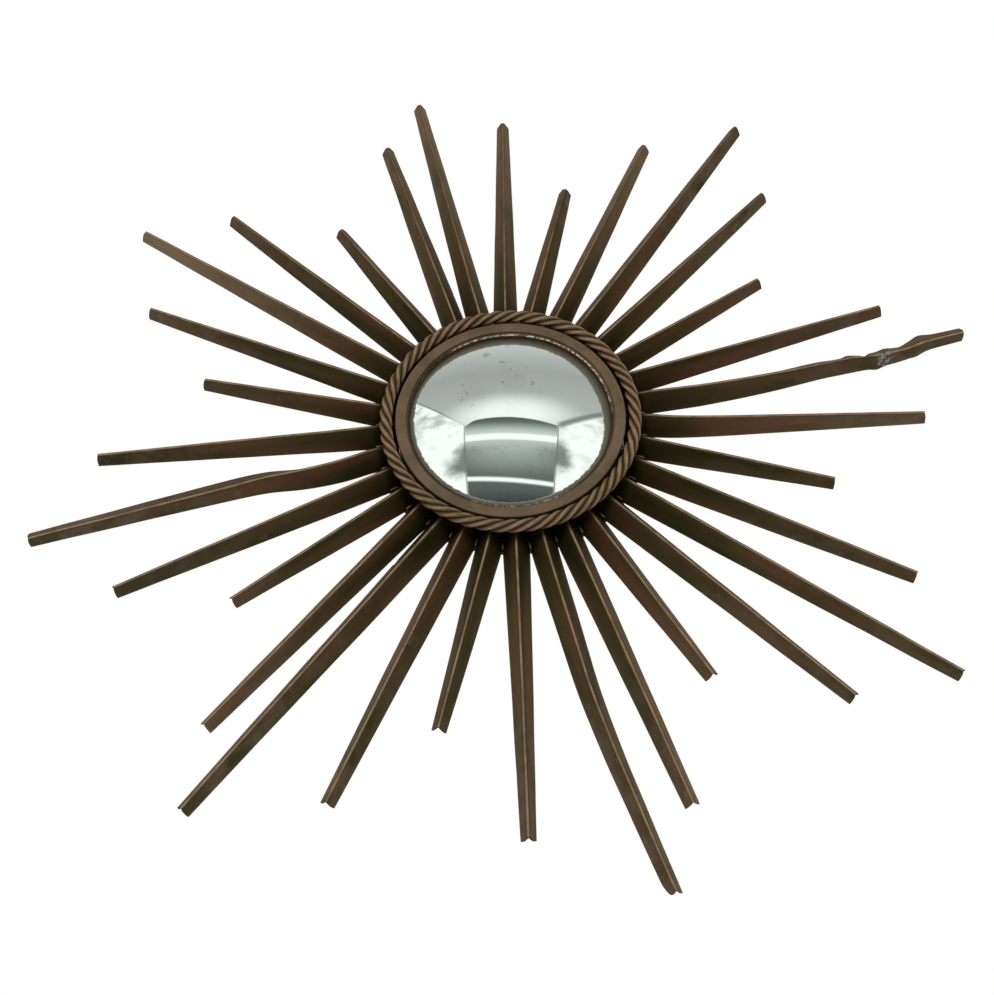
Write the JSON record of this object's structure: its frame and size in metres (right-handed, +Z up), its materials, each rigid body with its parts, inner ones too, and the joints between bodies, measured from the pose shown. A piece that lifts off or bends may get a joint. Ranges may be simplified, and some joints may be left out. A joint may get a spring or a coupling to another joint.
{
  "type": "sunburst mirror",
  "caption": "Round wall mirror with a convex glass in a twisted-bar frame, ringed by folded sheet-metal rays of alternating lengths, with a swinging loop to hang it by.",
  "frame": {"origin": "centre of the drum's rear rim, on the plane that lies against the wall", "axes": "+Z up the wall, +Y into the wall, the glass faces -Y, +X to the viewer's right"},
  "size_m": [0.6849, 0.0343, 0.6661],
  "materials": {
    "ray_bronze": "dark brown-green bronze patina, worn lighter along the folds",
    "bar_bronze": "brown bronze patina, edges rubbed bright",
    "face_bronze": "satin brown bronze",
    "drum_steel": "dulled and darkened",
    "silvered_glass": "polished, slightly foxed silvering",
    "glazing": "matt",
    "card": "raw card",
    "hardboard": "raw hardboard",
    "cover_steel": "dulled sheet",
    "hanger_brass": "tarnished",
    "loop_steel": "dulled wire",
    "solder": "grey, drawn-out drops"
  },
  "bodies": {
    "mirror": {"twisted_ring": "bar_bronze", "face_ring": "face_bronze", "drum_wall": "drum_steel", "root_ring": "drum_steel", "mirror_glass": "silvered_glass", "glazing_ring": "glazing", "packing_ring": "card", "backing_board": "hardboard", "back_cover": "cover_steel", "retaining_tabs": "drum_steel", "hanger_strap": "hanger_brass", "hanger_rivets": "hanger_brass", "solder_beads": "solder", "ray_01": "ray_bronze", "ray_02": "ray_bronze", "ray_03": "ray_bronze", "ray_04": "ray_bronze", "ray_05": "ray_bronze", "ray_06": "ray_bronze", "ray_07": "ray_bronze", "ray_08": "ray_bronze", "ray_09": "ray_bronze", "ray_10": "ray_bronze", "ray_11": "ray_bronze", "ray_12": "ray_bronze", "ray_13": "ray_bronze", "ray_14": "ray_bronze", "ray_15": "ray_bronze", "ray_16": "ray_bronze", "ray_17": "ray_bronze", "ray_18": "ray_bronze", "ray_19": "ray_bronze", "ray_20": "ray_bronze", "ray_21": "ray_bronze", "ray_22": "ray_bronze", "ray_23": "ray_bronze", "ray_24": "ray_bronze", "ray_25": "ray_bronze", "ray_26": "ray_bronze", "ray_27": "ray_bronze", "ray_28": "ray_bronze", "ray_29": "ray_bronze", "ray_30": "ray_bronze", "ray_31": "ray_bronze", "ray_32": "ray_bronze"},
    "loop": {"hanging_loop": "loop_steel"}
  },
  "joints": [
    {"name": "loop_swing", "type": "hinge", "parent": "mirror", "child": "loop", "pos_m": [0, -0.00285, 0.05], "axis": [1, 0, 0], "range_deg": [0, 180]}
  ]
}
